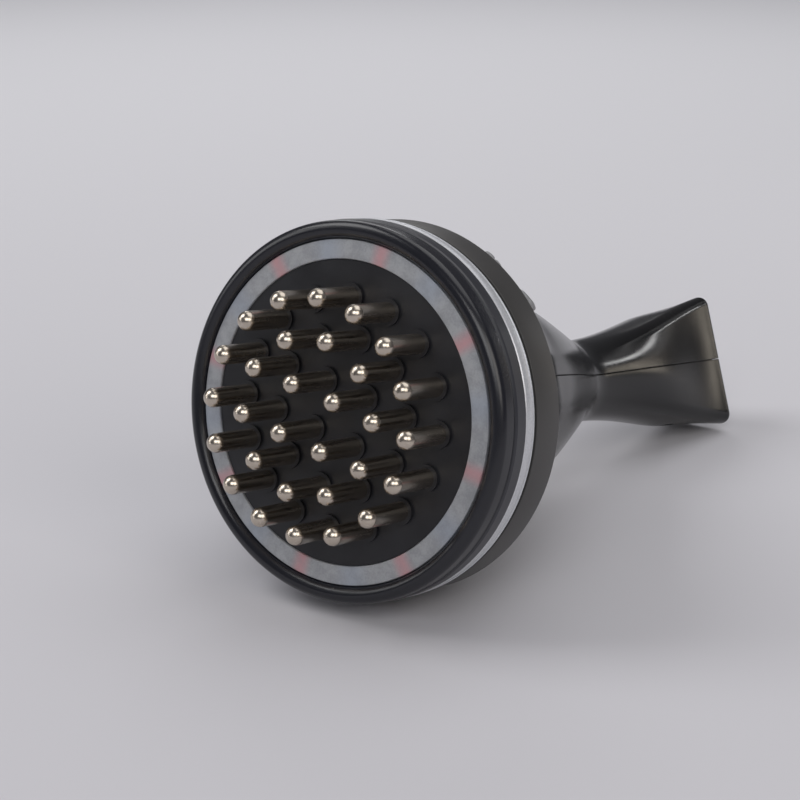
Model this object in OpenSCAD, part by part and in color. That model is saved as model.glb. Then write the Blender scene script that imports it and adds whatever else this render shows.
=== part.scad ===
// Hand-held light therapy body massager.
// Everything is drawn in the device's own frame: +Z points out of the pin face, Z = 0 is the
// front of the light ring, and "depth" is measured from there towards the grip. The whole
// device is then laid on the ground on the edge of its head and the end of its grip.

/* [Head] */
// Outside diameter of the round front bezel
head_d = 100; // [84:1:130]
// Depth of the sharp rear edge of the head below the light ring
head_depth = 26.4; // [25:0.2:36]
// Radial width of the front bezel
bezel_w = 4.9; // [4.4:0.1:6.5]
// Height of the bezel's round top above the light ring
bezel_rise = 1.5; // [0.5:0.1:2.4]
// Radial width of the visible light ring
light_w = 5.1; // [4:0.1:7]
// How far the pin plate sits below the light ring
plate_sink = 0.5; // [0.2:0.1:1]
// Thickness of the pin plate
plate_t = 3; // [2.4:0.1:3.2]
// Depth at which the light grey trim ring starts
trim_depth = 9.3; // [9:0.1:11]
// Width of the trim ring
trim_w = 4.5; // [2:0.1:5]
// Width of the rubber ring behind the trim ring
seal_w = 1.2; // [0.5:0.1:1.5]

/* [Pins] */
// Diameter of a pin
pin_d = 5.2; // [3.5:0.1:6]
// Height of a pin's tip above the light ring
pin_h = 17; // [8:0.5:25]
// Pins in the outer ring
outer_count = 16; // [10:1:16]
// Pins in the middle ring
middle_count = 10; // [6:1:10]
// Pins in the inner ring
inner_count = 4; // [2:1:4]
// Distance from the plate's edge to the centres of the outer pins
pin_margin = 9.3; // [8.6:0.1:11]
// Thread diameter of the stud behind each pin
stud_d = 3; // [2:0.1:3.4]
// Diameter of the raised collar round each pin's foot
collar_d = 7.2; // [6.4:0.1:8]

/* [Handle] */
// Depth of the grip's end below the light ring
body_len = 206.4; // [195:0.2:250]
// Depth of the narrowest place of the neck
neck_depth = 121; // [112:1:132]
// Diameter of the neck at its narrowest place
neck_d = 25.4; // [24.6:0.2:34]
// Height of the grip's end, across the parting line, on its flat side
grip_h = 46.4; // [40:0.2:56]
// Width of the grip's end, along the parting line
grip_w = 27.4; // [26:0.2:48]
// How much lower the round side of the grip's end is, as a share of its height
grip_taper = 0.23; // [0:0.01:0.3]
// Corner radius of the grip's end on its flat side
flat_corner = 4.4; // [2:0.2:8]
// Corner radius of the grip's end on its round side
round_corner = 12; // [4:0.5:12]
// Radius that rounds the edge of the grip's end
end_round = 2.6; // [1:0.2:4]
// Wall of the two shell halves
wall = 2.2; // [1.6:0.1:2.6]

/* [Keys] */
// Length of a key, round the head
key_len = 7; // [5:0.1:9]
// Width of a key, along the handle
key_w = 4.4; // [3:0.1:5]
// How far a key stands out of the casing
key_stand = 1.2; // [0.4:0.1:2.2]
// How far a key can be pressed
key_travel = 0.5; // [0.3:0.1:0.6]

/* [Motor and battery] */
// Diameter of the vibration motor
motor_d = 24; // [18:0.5:26]
// Length of the vibration motor
motor_len = 28; // [20:1:30]
// Diameter of the battery cell
cell_d = 18.2; // [14:0.1:18.4]
// Length of the battery cell
cell_len = 50; // [40:1:55]

/* [Hidden] */
$fn = 72;

// Gap between neighbouring static pieces
gap = 0.15;

// Radii of the head, from the outside in
bezel_r = head_d / 2;
light_out_r = bezel_r - bezel_w;
light_in_r = light_out_r - light_w;
plate_r = light_in_r - gap;
band_r = bezel_r + 0.3;
trim_r = bezel_r + 0.45;
rear_r = bezel_r + 0.2;
bore_r = bezel_r - 1.55;
drum_r = bezel_r - 2.5;
drum_wall = 2;
skirt_t = 0.8;

// Depths of the head, from the front back
plate_back = plate_sink + plate_t;
board_t = 1.6;
contact_back = plate_back + board_t;
light_t = 2.5;
lens_foot = 1.4;
deck_top = 8;
deck_t = 2;
deck_back = deck_top + deck_t;
bezel_foot = 4.2;
band_top = 4.6;
trim_back = trim_depth + trim_w;
seal_back = trim_back + seal_w;
drum_back = head_depth - 8;
lip_t = 2;
flange_top = drum_back + lip_t + 0.1;
flange_t = 2.4;
led_board_t = 1.2;
led_board_top = deck_top - led_board_t;

// Pins
outer_turn = 2.3;
outer_pins_r = plate_r - pin_margin;
middle_pins_r = outer_pins_r * 2 / 3;
inner_pins_r = outer_pins_r * 0.31;
middle_turn = 22.5;
inner_turn = 14;
collar_h = 0.8;
stud_end = 8.0;
nut_across = 5.5;
nut_t = 2.4;
boss_r = outer_pins_r + 1.3;
boss_turns = [for (k = [0 : 3]) outer_turn + (0.5 + 4 * k) * 360 / outer_count];
boss_d = 4.6;
ear_d = 6.6;
ear_back = deck_back + 0.4;

// Lamps
led_count = 8;
red_turn = 14.1;
blue_turn = 36.6;
led_r = (light_in_r + light_out_r) / 2;

// Boards and screws in the head
control_top = deck_back + 4;
control_back = control_top + board_t;
control_r = drum_r - 8.4;
post_r = control_r - 2.4;
post_turns = [0, 90, 180, 270];
tube_r = drum_r - 5;
tube_d = 6.4;
upper_tubes = [65, 115];
lower_tubes = [245, 295];
tube_turns = concat(upper_tubes, lower_tubes);
tube_pilot = 1.3;
deck_in_r = outer_pins_r + 4.2;
gasket_t = 0.8;
collar_out = plate_r - lens_foot - 0.2;

// Small screws of the head, with the holes they cut into and pass through
screw_r = 0.88;
screw_pilot = 0.9;
screw_pass = 1.1;
// Long drum screws
tube_head_r = 2.2;
tube_head_t = 1.4;
tube_bite = 7;

// The flare, neck and grip, as stations of [depth, half size, slope]
flare_depth = head_depth + 0.1;
flare_r = rear_r - 0.2;
neck_r = neck_d / 2;
rim_station = [flare_depth, flare_r, -0.6];
shoulder_station = [
    flare_depth + 0.36 * (neck_depth - flare_depth), neck_r + 0.524 * (flare_r - neck_r), -0.25
];
waist_station = [
    flare_depth + 0.8 * (neck_depth - flare_depth), neck_r + 0.157 * (flare_r - neck_r), -0.36
];
neck_station = [neck_depth, neck_r, 0];
height_station = [body_len, grip_h / 2, 0.13];
belly_station = [(neck_depth + body_len) / 2, max(neck_r, grip_w / 2), 0];
width_station = [body_len, grip_w / 2, 0.13];
taper_from = neck_depth + 0.6 * (body_len - neck_depth);
rings = 9;
arc_steps = 30;
parting_gap = 0.2;

// Cubic curve between two stations
function curve(s, a, b) =
    let (len = b[0] - a[0], t = (s - a[0]) / len)
    a[1] * (2 * t * t * t - 3 * t * t + 1) + a[2] * len * (t * t * t - 2 * t * t + t)
    + b[1] * (3 * t * t - 2 * t * t * t) + b[2] * len * (t * t * t - t * t);
function flare(s) =
    s < shoulder_station[0] ? curve(s, rim_station, shoulder_station)
    : s < waist_station[0] ? curve(s, shoulder_station, waist_station)
    : curve(s, waist_station, neck_station);
function half_height(s) = s < neck_depth ? flare(s) : curve(s, neck_station, height_station);
function half_width(s) =
    s < neck_depth ? flare(s)
    : s < belly_station[0] ? curve(s, neck_station, belly_station)
    : curve(s, belly_station, width_station);
// Eases from 0 at a depth to 1 at the grip's end
function eased(s, from) =
    let (t = min(1, max(0, (s - from) / (body_len - from)))) t * t * (3 - 2 * t);
// How much of its height the grip keeps at x, across from its flat side to its round side
function kept(s, x) =
    let (share = max(0, half_width(s) - x) / (2 * half_width(s)))
    1 - grip_taper * eased(s, taper_from) * share;
// How much the end's rounding takes off at a depth
function end_cut(s) =
    let (g = max(0, s - (body_len - end_round)))
    end_round - sqrt(max(0, end_round * end_round - g * g));
function middle_height(s) = half_height(s) * kept(s, 0);
function slope(s) = half_height(s + 0.5) - half_height(s - 0.5);
// Inset that keeps a skin of thickness t square to the slanted wall
function inset(s, t) = t * sqrt(1 + pow(slope(max(s, flare_depth + 0.5)), 2));

// Distance from the middle to a rounded rectangle of half sizes w and h along angle a
function edge_distance(w, h, c, a) =
    let (
        k = min(c, w, h),
        ux = abs(cos(a)), uy = abs(sin(a)),
        flat = min(ux > 0.001 ? w / ux : 1e6, uy > 0.001 ? h / uy : 1e6),
        in_corner = flat * ux > w - k && flat * uy > h - k,
        b = (w - k) * ux + (h - k) * uy,
        left = b * b - ((w - k) * (w - k) + (h - k) * (h - k) - k * k)
    )
    in_corner ? b + sqrt(max(0, left)) : flat;

// The same to the casing's outline, drawn in by off. It is oval at the neck and squared at the
// grip's end, where its corners are smaller on the flat side, towards +X.
function skin_distance(s, w, h, off, a) =
    let (
        c = max(0.8, (cos(a) > 0 ? flat_corner : round_corner) - off),
        oval = 1 / sqrt(pow(cos(a) / w, 2) + pow(sin(a) / h, 2))
    )
    oval + (edge_distance(w, h, c, a) - oval) * eased(s, neck_depth);

// One ring of points at a depth, inset by t, over the half turn that starts at angle from
function half_ring(s, z, t, from) =
    let (
        off = t == 0 ? end_cut(s) : t,
        w = half_width(s) - off, h = half_height(s) - off
    )
    [for (j = [0 : arc_steps])
        let (
            a = from + 180 * j / arc_steps,
            d = skin_distance(s, w, h, off, a),
            y = abs(d * sin(a)) * kept(s, d * cos(a))
        )
        [d * cos(a), (from == 0 ? 1 : -1) * max(y, parting_gap / 2), -z]];

// Depths of the rings: along the flare, along the grip, round the end
ring_depths = concat(
    [for (i = [0 : rings - 1]) flare_depth + (neck_depth - flare_depth) * i / rings],
    [for (i = [0 : rings - 1])
        neck_depth + (body_len - end_round - neck_depth) * i / (rings - 1)],
    [for (a = [30, 60, 90]) body_len - end_round + end_round * sin(a)]
);
last_ring = len(ring_depths) - 1;
// The same rings drawn in, so that the last one is a wall thickness t short of the end
function drawn_in(s, t) =
    flare_depth + (s - flare_depth) * (body_len - t - flare_depth) / (body_len - flare_depth);
function quad(a, b, c, d) = [[a, b, c], [a, c, d]];

// A half shell: outer rings, inner rings, the end wall and the two parting faces
module half_shell(from) {
    n = arc_steps + 1;
    outer = [for (s = ring_depths) each half_ring(s, s, 0, from)];
    inner = [for (s = ring_depths)
        let (q = drawn_in(s, wall)) each half_ring(q, q, inset(q, wall), from)];
    base = len(outer);
    side = from == 0 ? 1 : -1;
    hubs = [[0, side * grip_h / 4, -body_len], [0, side * grip_h / 4, wall - body_len]];
    hub = 2 * base;
    faces = concat(
        [for (i = [0 : last_ring - 1]) for (j = [0 : arc_steps - 1])
            each quad(i * n + j, i * n + j + 1, (i + 1) * n + j + 1, (i + 1) * n + j)],
        [for (i = [0 : last_ring - 1]) for (j = [0 : arc_steps - 1])
            each quad(base + (i + 1) * n + j, base + (i + 1) * n + j + 1,
                      base + i * n + j + 1, base + i * n + j)],
        [for (j = [0 : arc_steps - 1]) each quad(base + j, base + j + 1, j + 1, j)],
        [for (i = [0 : last_ring - 1])
            each quad(i * n, (i + 1) * n, base + (i + 1) * n, base + i * n)],
        [for (i = [0 : last_ring - 1])
            each quad(base + i * n + n - 1, base + (i + 1) * n + n - 1,
                      (i + 1) * n + n - 1, i * n + n - 1)],
        [for (j = [0 : arc_steps])
            [hub, last_ring * n + j, last_ring * n + (j + 1) % n]],
        [for (j = [0 : arc_steps])
            [hub + 1, base + last_ring * n + (j + 1) % n, base + last_ring * n + j]],
        quad(last_ring * n, last_ring * n + n - 1,
             base + last_ring * n + n - 1, base + last_ring * n)
    );
    polyhedron(concat(outer, inner, hubs), faces, 6);
}

// The solid inside the middle of the wall, which trims whatever is cast onto the wall
module wall_core() {
    n = 2 * arc_steps;
    t = wall / 2;
    skin = [for (s = ring_depths)
        let (q = drawn_in(s, t), w = half_width(q) - inset(q, t), h = half_height(q) - inset(q, t))
        for (j = [0 : n - 1])
            let (
                a = 360 * j / n,
                d = skin_distance(q, w, h, t, a)
            )
            [d * cos(a), d * sin(a) * kept(q, d * cos(a)), -q]];
    hub = len(skin);
    faces = concat(
        [for (i = [0 : last_ring - 1]) for (j = [0 : n - 1])
            let (k = (j + 1) % n) each quad(i * n + j, i * n + k, (i + 1) * n + k, (i + 1) * n + j)],
        [for (j = [0 : n - 1]) [hub, (j + 1) % n, j]],
        [for (j = [0 : n - 1]) [hub + 1, last_ring * n + j, last_ring * n + (j + 1) % n]]
    );
    polyhedron(concat(skin, [[0, 0, -flare_depth], [0, 0, t - body_len]]), faces, 6);
}

// How the device lies: the head's rear edge and the grip's end both touch the ground
roll = 19.8;
end_ring = [for (a = [0 : 3 : 357])
    let (
        d = skin_distance(body_len, grip_w / 2 - end_round, grip_h / 2 - end_round, end_round, a)
    )
    [d * cos(a), d * sin(a) * kept(body_len, d * cos(a))]];
end_drop = max([for (p = end_ring) -p[0] * sin(roll) - p[1] * cos(roll)]);
drop_gap = rear_r - end_drop;
drop_len = body_len - end_round - head_depth;
tilt = acos(end_round / norm([drop_gap, drop_len])) - atan2(drop_len, drop_gap);
lift = rear_r * cos(tilt) + head_depth * sin(tilt);
tip_depth = -(pin_h - pin_d / 2);
front_y = -outer_pins_r * sin(tilt) + tip_depth * cos(tilt) - pin_d / 2;
back_y = end_drop * sin(tilt) + (body_len - end_round) * cos(tilt) + end_round;
module lying() {
    translate([0, -(front_y + back_y) / 2, lift]) rotate([90 - tilt, 0, 0]) rotate([0, 0, roll])
        children();
}

// A ring of revolution from [radius, depth] points
module turned(points, angle = 360) {
    rotate_extrude(angle = angle) polygon([for (p = points) [p[0], -p[1]]]);
}
// Children at each turn round the axis, at radius r
module around(turns, r) {
    for (a = turns) rotate([0, 0, a]) translate([r, 0, 0]) children();
}
// A cylinder between two depths
module drum(r, from, to) {
    translate([0, 0, -to]) cylinder(r = r, h = to - from);
}
// A screw pointing towards the face: head behind depth d, shank of length len in front of it
module screw(d, head_r, head_t, shank_r, len) {
    difference() {
        drum(head_r, d, d + head_t);
        translate([-head_r, -head_r * 0.14, -d - head_t - 1]) cube([2 * head_r, head_r * 0.28, 1.4]);
    }
    drum(shank_r, d - len, d + 0.01);
}
// A flat bar with round ends, long along Y
module stadium(len, width, h) {
    linear_extrude(h) {
        square([width, len - width], center = true);
        for (k = [-1, 1]) translate([0, k * (len - width) / 2]) circle(d = width);
    }
}
function spread(count, start) = [for (k = [0 : count - 1]) start + k * 360 / count];
outer_turns = spread(outer_count, outer_turn);
middle_turns = spread(middle_count, middle_turn);
inner_turns = spread(inner_count, inner_turn);
module at_pins() {
    around(outer_turns, outer_pins_r) children();
    around(middle_turns, middle_pins_r) children();
    around(inner_turns, inner_pins_r) children();
}

// The pin head

module pin_plate() {
    rebate_r = plate_r - lens_foot;
    color([0.07, 0.07, 0.08]) lying() difference() {
        union() {
            drum(rebate_r, plate_sink, plate_back);
            drum(plate_r, plate_sink, light_t - gap);
            at_pins() drum(collar_d / 2, plate_sink - collar_h, plate_sink + 0.1);
            around(boss_turns, boss_r) drum(boss_d / 2, plate_back - 0.1, deck_top + 0.2);
        }
        at_pins() drum(stud_d / 2 + gap, plate_sink - collar_h - 1, plate_back + 1);
        around(boss_turns, boss_r) drum(screw_pilot, plate_back, deck_top + 1);
    }
}
module pin() {
    foot = plate_sink - collar_h;
    drum(stud_d / 2, foot - 0.1, stud_end);
    drum(pin_d / 2, tip_depth, foot);
    translate([0, 0, -tip_depth]) rotate_extrude() intersection() {
        circle(d = pin_d);
        square(pin_d);
    }
}
module electrode_pins_outer() {
    color([0.78, 0.76, 0.72]) lying() around(outer_turns, outer_pins_r) pin();
}
module electrode_pins_middle() {
    color([0.78, 0.76, 0.72]) lying() around(middle_turns, middle_pins_r) pin();
}
module electrode_pins_inner() {
    color([0.78, 0.76, 0.72]) lying() around(inner_turns, inner_pins_r) pin();
}
module pin_nuts() {
    color([0.75, 0.7, 0.55]) lying() at_pins() difference() {
        translate([0, 0, -contact_back - nut_t]) cylinder(d = nut_across / cos(30), h = nut_t, $fn = 6);
        drum(stud_d / 2 + 0.05, contact_back - 1, contact_back + nut_t + 1);
    }
}
module contact_board() {
    color([0.1, 0.35, 0.2]) lying() difference() {
        drum(deck_in_r - 1, plate_back, contact_back);
        at_pins() drum(stud_d / 2 + 0.1, plate_back - 1, contact_back + 1);
        around(boss_turns, boss_r) drum(boss_d / 2 + 0.3, plate_back - 1, contact_back + 1);
    }
}
module plate_gasket() {
    color([0.15, 0.15, 0.15]) lying() turned([
        [deck_in_r, plate_back], [collar_out, plate_back],
        [collar_out, plate_back + gasket_t], [deck_in_r, plate_back + gasket_t]
    ]);
}
module plate_screws() {
    color([0.7, 0.7, 0.72]) lying() around(boss_turns, boss_r) screw(ear_back, 2, 1.4, screw_r, 5.4);
}
module light_ring() {
    in_r = light_in_r - lens_foot;
    out_r = light_out_r + lens_foot;
    color([0.75, 0.78, 0.8, 0.8]) lying() turned([
        [light_in_r, 0.1], [light_in_r + 0.1, 0], [light_out_r - 0.1, 0], [light_out_r, 0.1],
        [light_out_r, light_t], [out_r, light_t], [out_r, deck_top], [out_r - skirt_t, deck_top],
        [out_r - skirt_t, light_t + 1], [in_r + skirt_t, light_t + 1],
        [in_r + skirt_t, deck_top], [in_r, deck_top], [in_r, light_t], [light_in_r, light_t]
    ]);
}
module led_board() {
    in_r = light_in_r - lens_foot + skirt_t + gap;
    out_r = light_out_r + lens_foot - skirt_t - gap;
    color([0.9, 0.9, 0.88]) lying() turned([
        [in_r, led_board_top], [out_r, led_board_top], [out_r, deck_top], [in_r, deck_top]
    ]);
}
module led() {
    lamp = [3.5, 2.8, 1.9];
    translate([-lamp[0] / 2, -lamp[1] / 2, -led_board_top]) cube(lamp);
}
module red_leds() {
    color([0.85, 0.25, 0.25]) lying() around(spread(led_count, red_turn), led_r) led();
}
module blue_leds() {
    color([0.3, 0.4, 0.9]) lying() around(spread(led_count, blue_turn), led_r) led();
}
module front_bezel() {
    round_r = (bezel_w - 0.15) / 2;
    round_c = bezel_r - round_r;
    round_depth = round_r - bezel_rise;
    spigot_r = bore_r - gap;
    foot_r = light_out_r + lens_foot + gap;
    color([0.07, 0.07, 0.09]) lying() difference() {
        union() {
            rotate_extrude() translate([round_c, -round_depth]) circle(round_r);
            turned([
                [round_c - round_r, round_depth], [bezel_r, round_depth],
                [bezel_r - 0.5, bezel_foot], [spigot_r, bezel_foot],
                [spigot_r, deck_top - gap], [foot_r, deck_top - gap],
                [foot_r, light_t - gap], [round_c - round_r, light_t - gap]
            ]);
        }
        drum(light_out_r + gap, -bezel_rise - 1, light_t);
        drum(foot_r, light_t - gap, deck_top + 1);
    }
}
module head_housing() {
    color([0.16, 0.16, 0.18]) lying() difference() {
        union() {
            turned([
                [bore_r, band_top], [band_r - 0.8, band_top], [band_r - 0.25, band_top + 0.25],
                [band_r, band_top + 0.8], [band_r, trim_depth], [drum_r, trim_depth],
                [drum_r, drum_back], [drum_r - drum_wall, drum_back],
                [drum_r - drum_wall, deck_back], [deck_in_r, deck_back],
                [deck_in_r, plate_back + gasket_t], [collar_out, plate_back + gasket_t],
                [collar_out, deck_top], [bore_r, deck_top]
            ]);
            around(boss_turns, boss_r) drum(ear_d / 2, deck_top + 0.35, ear_back);
            around(post_turns, post_r) drum(2.5, deck_back - 0.5, control_top);
            around(tube_turns, tube_r) drum(tube_d / 2, deck_back - 0.5, flange_top);
        }
        around(boss_turns, boss_r) drum(screw_pass, deck_top - 1, ear_back + 1);
        around(post_turns, post_r) drum(screw_pilot, deck_top + 1, control_top + 1);
        around(tube_turns, tube_r) {
            drum(1.4, deck_top - 1, flange_top + 1);
            drum(tube_head_r + 0.2, deck_top - 1, deck_top + tube_head_t);
        }
    }
}
module trim_ring() {
    in_r = drum_r + gap;
    color([0.62, 0.64, 0.65]) lying() turned([
        [in_r, trim_depth], [trim_r - 0.2, trim_depth], [trim_r, trim_depth + 0.2],
        [trim_r, trim_back - 0.2], [trim_r - 0.2, trim_back], [in_r, trim_back]
    ]);
}
module seal_ring() {
    out_r = rear_r - 0.1;
    color([0.02, 0.02, 0.02]) lying() turned([
        [drum_r + gap, trim_back], [out_r, trim_back],
        [out_r, seal_back], [drum_r + gap, seal_back]
    ]);
}
module rear_ring() {
    in_r = drum_r + gap;
    lip_r = tube_r + tube_d / 2 + 0.3;
    color([0.17, 0.17, 0.18]) lying() turned([
        [in_r, seal_back], [rear_r - 0.3, seal_back], [rear_r, seal_back + 0.3],
        [rear_r, head_depth], [in_r, head_depth], [in_r, drum_back + 0.05 + lip_t],
        [lip_r, drum_back + 0.05 + lip_t], [lip_r, drum_back + 0.05], [in_r, drum_back + 0.05]
    ]);
}
// Long screws through the drum into the shells' flange, with their heads towards the face
module drum_screws() {
    color([0.7, 0.7, 0.72]) lying() around(tube_turns, tube_r) {
        drum(tube_head_r, deck_top + 0.05, deck_top + tube_head_t);
        drum(tube_pilot - 0.05, deck_top + tube_head_t - 0.1, flange_top + tube_bite);
    }
}

// Boards in the head

module control_board() {
    color([0.1, 0.35, 0.2]) lying() difference() {
        drum(control_r, control_top, control_back);
        around(post_turns, post_r) drum(screw_pass, control_top - 1, control_back + 1);
    }
}
module board_screws() {
    color([0.7, 0.7, 0.72]) lying() around(post_turns, post_r) screw(control_back, 1.9, 1.2, screw_r, 5);
}
// The coil stands on the side of the board that lies lowest at rest
coil_turn = -90 - roll;
module pulse_transformer() {
    color([0.2, 0.2, 0.22]) lying() rotate([0, 0, coil_turn]) translate([24, 0, -control_back]) {
        translate([-8, -9, -9]) difference() {
            cube([16, 18, 9]);
            translate([3, -1, 2.5]) cube([10, 20, 4]);
        }
        translate([-4.8, -10.5, -6.3]) cube([9.6, 21, 3.6]);
    }
}
module board_parts() {
    color([0.15, 0.15, 0.17]) lying() {
        translate([-5, 2, -control_back - 2]) cube([10, 10, 2]);
        translate([-24, 10, -control_back - 1.6]) cube([8, 6, 1.6]);
        translate([12, -22, -control_back - 1.6]) cube([5, 6, 1.6]);
        translate([24, 14, 0]) drum(3.2, control_back, control_back + 7);
        translate([-22, 0, 0]) drum(3.2, control_back, control_back + 7);
    }
}
lead_spot = 11.7;
module contact_leads() {
    color([0.7, 0.15, 0.12]) lying() for (k = [-1, 1])
        translate([k * lead_spot, k * lead_spot, 0]) drum(0.6, contact_back, control_top);
}

// Keys, on an axis square to the flare
key_turn = 32.5;
key_depth = head_depth + 3.6;
key_r = flare(key_depth);
key_lean = atan(-slope(key_depth));
key_step = 7;
key_base = -(key_r - sqrt(key_r * key_r - key_step * key_step)) * cos(key_lean);
key_gap = 0.25;
pocket_top = key_base - wall + 0.1;
key_flange_t = 0.8;
key_flange_len = key_len + 1.8;
stem_end = pocket_top - 0.1 - key_flange_t - 1.4;
switch_top = stem_end - key_travel - 0.1;
switch_t = 2;
plunger_len = 1.5;
key_board_top = switch_top - switch_t;
key_board_t = 1.2;
module key_frame() {
    rotate([0, 0, key_turn]) translate([key_r, 0, -key_depth]) rotate([0, 90 + key_lean, 0])
        children();
}
module key() {
    head_h = key_base + key_stand - (pocket_top - 0.15);
    translate([0, 0, pocket_top - 0.15]) {
        stadium(key_len, key_w, head_h - 0.3);
        translate([0, 0, head_h - 0.3]) stadium(key_len - 0.5, key_w - 0.5, 0.3);
    }
    translate([0, 0, pocket_top - 0.1 - key_flange_t]) stadium(key_flange_len, key_w, key_flange_t);
    translate([0, 0, stem_end]) cylinder(r = 1.5, h = 2);
}
module power_key() {
    color([0.2, 0.2, 0.21]) lying() key_frame() translate([0, -key_step, 0]) key();
}
module mode_key() {
    notch = min(0.8, key_stand / 2);
    color([0.2, 0.2, 0.21]) lying() key_frame() translate([0, key_step, 0]) difference() {
        key();
        translate([-key_w, -notch / 2, key_base + key_stand - notch]) cube([2 * key_w, notch, 1]);
    }
}
module plunger() {
    translate([0, 0, stem_end - plunger_len]) cylinder(r = 1, h = plunger_len);
}
module power_plunger() {
    color([0.8, 0.8, 0.75]) lying() key_frame() translate([0, -key_step, 0]) plunger();
}
module mode_plunger() {
    color([0.8, 0.8, 0.75]) lying() key_frame() translate([0, key_step, 0]) plunger();
}
module key_switches() {
    color([0.25, 0.25, 0.27]) lying() key_frame() for (k = [-1, 1])
        translate([0, k * key_step, key_board_top]) difference() {
            translate([-2.5, -2.5, 0]) cube([5, 5, switch_t]);
            translate([0, 0, 0.4]) cylinder(r = 1.05, h = switch_t);
        }
}
module key_board() {
    color([0.1, 0.35, 0.2]) lying() key_frame() difference() {
        translate([-3.6, -key_step - 4.5, key_board_top - key_board_t])
            cube([7.2, 2 * key_step + 9, key_board_t]);
        translate([0, 0, key_board_top - key_board_t - 1]) cylinder(r = 0.9, h = key_board_t + 2);
    }
}
module key_board_screw() {
    under = key_board_top - key_board_t;
    color([0.7, 0.7, 0.72]) lying() key_frame() {
        translate([0, 0, under - 0.9]) cylinder(r = 1.6, h = 0.9);
        translate([0, 0, under - 0.1]) cylinder(r = 0.75, h = 4.5);
    }
}

// The two shells

// Depths of the screws that join the shells, and how far below the parting line their heads sit
shell_screw_depths = [flare_depth + 48.5, neck_depth - 8, body_len - 24.5];
seat_y = 6;
shell_screw_r = 1;
shell_pilot = 1.05;
shell_pass = 1.4;
shell_head_r = 2.3;
shell_bite = 7.5;
plug_r = 2.6;
recess_r = plug_r + 0.1;
module at_shell_screws() {
    for (s = shell_screw_depths) translate([0, 0, -s]) rotate([-90, 0, 0]) children();
}
// Motor: carried beside the axis, on the side that lies lowest at rest
motor_x = -4;
motor_y = -13;
motor_front = 36;
motor_back = motor_front + motor_len;
strap_t = 2;
strap_from = motor_front + 9;
strap_w = 6;
strap_ear = motor_d / 2 + 5;
cradle_depths = [strap_from - 4, strap_from + strap_w + 2];
cradle_t = 2;
strap_screw_r = 1.1;
cell_back = body_len - 31;
cell_front = cell_back - cell_len;
rib_depths = [cell_front + 6, (cell_front + cell_back) / 2, cell_back - 6];
rib_t = 1.6;
socket_w = 9;
socket_h = 3.2;
socket_len = 7.3;
socket_back = body_len - 0.4;
charge_board_t = 1.2;
charge_board_len = 12.4;
charge_board_y = -socket_h / 2 - charge_board_t;
charge_post_x = 6.9;
charge_post_depth = body_len - charge_board_len;

// Flange and spigot of a shell, which sit inside the rear ring
module spigot(from) {
    rotate([0, 0, from]) intersection() {
        turned([
            [drum_r - 7.4, flange_top], [drum_r, flange_top], [drum_r, flare_depth + 1.6],
            [drum_r - drum_wall, flare_depth + 1.6], [drum_r - drum_wall, flange_top + flange_t],
            [drum_r - 7.4, flange_top + flange_t]
        ], 180);
        translate([-head_d, parting_gap / 2, -body_len]) cube([2 * head_d, head_d, body_len]);
    }
}
module half_space(from) {
    rotate([0, 0, from]) translate([-head_d, parting_gap / 2, -body_len - 1])
        cube([2 * head_d, head_d, body_len + 2]);
}
// Socket cut-out, shared by both shells
module socket_hole() {
    translate([-socket_w / 2 - 0.2, -socket_h / 2 - 0.2, -body_len - 1])
        cube([socket_w + 0.4, socket_h + 0.4, wall + 2]);
}
module cell_ribs(from) {
    for (s = rib_depths) difference() {
        translate([0, 0, -s - rib_t / 2]) rotate([0, 0, from])
            translate([-grip_h, parting_gap / 2, 0]) cube([2 * grip_h, grip_h, rib_t]);
        drum(cell_d / 2 + gap, s - rib_t, s + rib_t);
    }
}
module upper_shell() {
    color([0.06, 0.06, 0.065]) lying() difference() {
        union() {
            half_shell(0);
            spigot(0);
            around(upper_tubes, tube_r) drum(tube_d / 2, flange_top, flange_top + tube_bite + 1);
            intersection() {
                union() {
                    at_shell_screws() cylinder(r = 3, h = head_d);
                    cell_ribs(0);
                    key_frame() translate([0, 0, key_board_top]) cylinder(r = 2.2, h = 8);
                }
                wall_core();
                half_space(0);
            }
        }
        around(upper_tubes, tube_r) drum(tube_pilot, flange_top - 1, flange_top + tube_bite + 0.4);
        at_shell_screws() translate([0, 0, -1]) cylinder(r = shell_pilot, h = shell_bite + 2);
        key_frame() {
            for (k = [-1, 1]) translate([0, k * key_step, 0]) {
                translate([0, 0, -6]) stadium(key_len + 2 * key_gap, key_w + 2 * key_gap, 10);
                translate([0, 0, pocket_top - 6])
                    stadium(key_flange_len + 2 * key_gap, key_w + 2 * key_gap, 6);
            }
            translate([-5, -key_step - 5.5, key_board_top - 4]) cube([10, 2 * key_step + 11, 4]);
            translate([0, 0, key_board_top - 1]) cylinder(r = 0.8, h = 5);
        }
        socket_hole();
    }
}
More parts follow.
